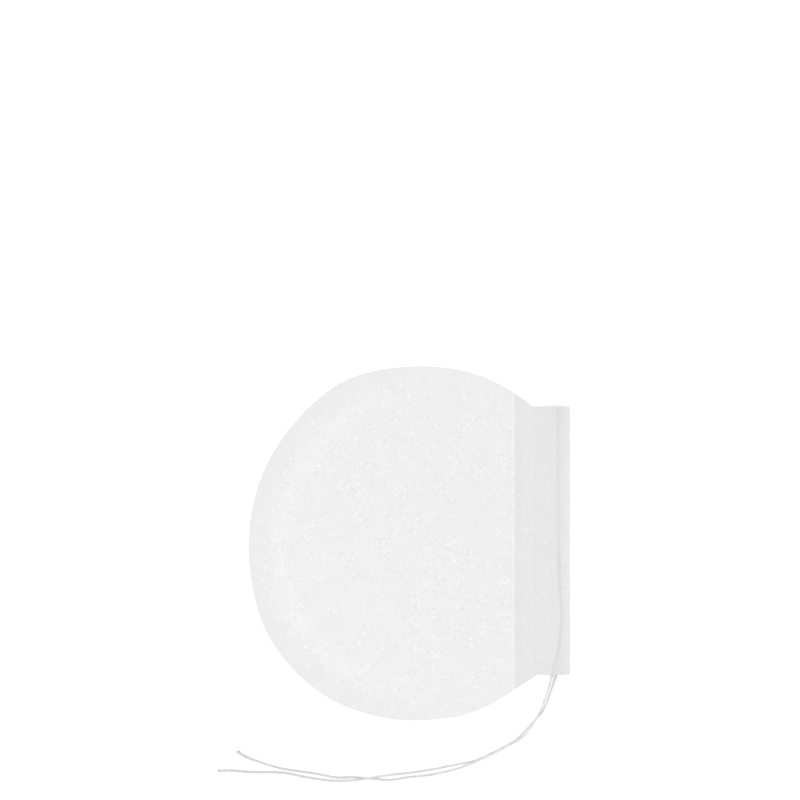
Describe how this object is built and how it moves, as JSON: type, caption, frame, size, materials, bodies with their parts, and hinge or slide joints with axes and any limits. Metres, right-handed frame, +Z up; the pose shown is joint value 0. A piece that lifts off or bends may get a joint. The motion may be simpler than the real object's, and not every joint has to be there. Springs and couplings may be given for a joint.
{
  "type": "round tea bag",
  "caption": "Empty round filter-paper tea bag lying flat, with a folded hem across its mouth and a thread drawstring whose ends leave the hem at one side.",
  "frame": {"origin": "centre of the disc, on the underside of the back sheet, which lies on the table", "axes": "+X from the centre towards the mouth, +Y along the mouth away from the string's ends, +Z up out of the front sheet"},
  "size_m": [0.0899, 0.1059, 0.0028],
  "materials": {
    "filter_paper_back": "matt white heat-sealing filter paper",
    "filter_paper_front": "matt white heat-sealing filter paper",
    "cotton_thread": "undyed twisted cotton thread"
  },
  "bodies": {
    "root": {"back_panel": "filter_paper_back", "front_panel": "filter_paper_front", "drawstring": "cotton_thread"}
  },
  "joints": []
}
